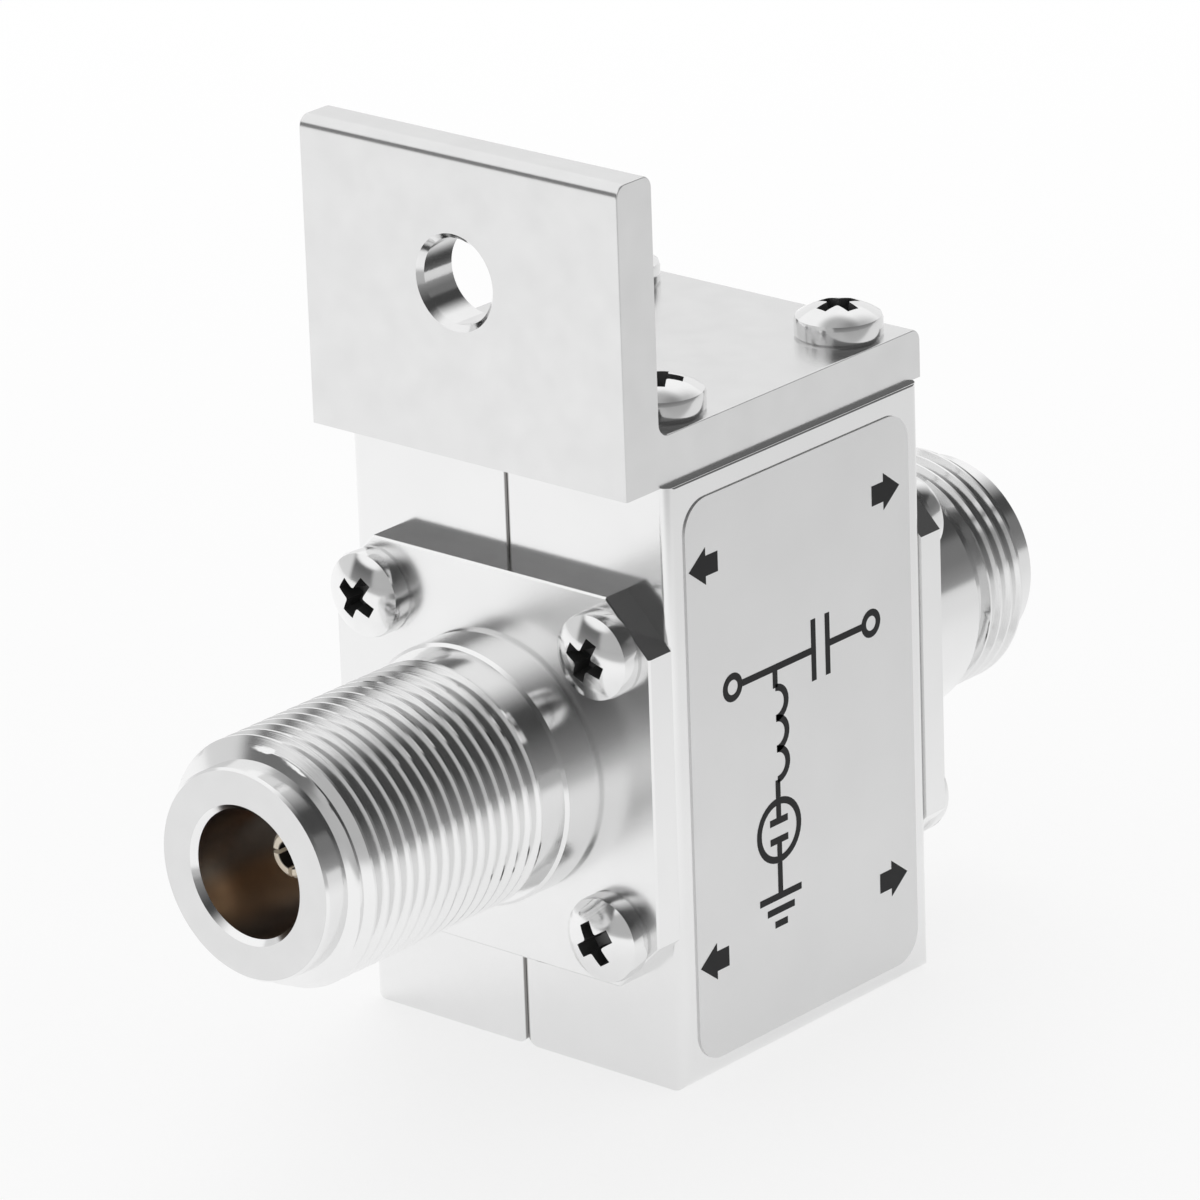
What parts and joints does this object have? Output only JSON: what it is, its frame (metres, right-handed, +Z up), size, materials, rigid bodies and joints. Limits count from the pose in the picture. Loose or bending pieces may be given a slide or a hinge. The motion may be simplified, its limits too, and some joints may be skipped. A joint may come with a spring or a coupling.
{
  "type": "coax lightning arrestor",
  "caption": "Coaxial lightning arrestor: split metal block with a threaded socket jack at each end and an angle bracket on top, blocking surges between an antenna line and equipment.",
  "frame": {"origin": "on the plane of the block's bottom face, on the seam, under the middle of the overall length from nose to nose", "axes": "+X towards the labelled side, +Y from the antenna jack to the equipment jack along their common axis, +Z up"},
  "size_m": [0.0256, 0.0672, 0.0585],
  "materials": {
    "nickel_block": "bright nickel plate",
    "nickel_jack": "bright nickel plate, turned",
    "satin_bracket": "satin plate",
    "bright_screw": "bright plate",
    "white_insulator": "machined fluoropolymer",
    "gold_contact": "gold plate",
    "brass_plate": "turned",
    "dielectric_disc": "fired",
    "copper_wire": "enamelled",
    "tube_electrode": "plain",
    "tube_ceramic": "fired",
    "bronze_spring": "plain",
    "label_film": "satin film"
  },
  "bodies": {
    "root": {"left_housing": "nickel_block", "right_housing": "nickel_block", "angle_bracket": "satin_bracket", "bracket_screws": "bright_screw", "front_jack": "nickel_jack", "rear_jack": "nickel_jack", "front_flange_screws": "bright_screw", "rear_flange_screws": "bright_screw", "front_insulator": "white_insulator", "rear_insulator": "white_insulator", "front_contact": "gold_contact", "rear_contact": "gold_contact", "capacitor_front_plate": "brass_plate", "capacitor_dielectric": "dielectric_disc", "capacitor_rear_plate": "brass_plate", "choke_coil": "copper_wire", "gas_tube_top_electrode": "tube_electrode", "gas_tube_ceramic": "tube_ceramic", "gas_tube_bottom_electrode": "tube_electrode", "gas_tube_spring": "bronze_spring", "side_label": "label_film"}
  },
  "joints": []
}
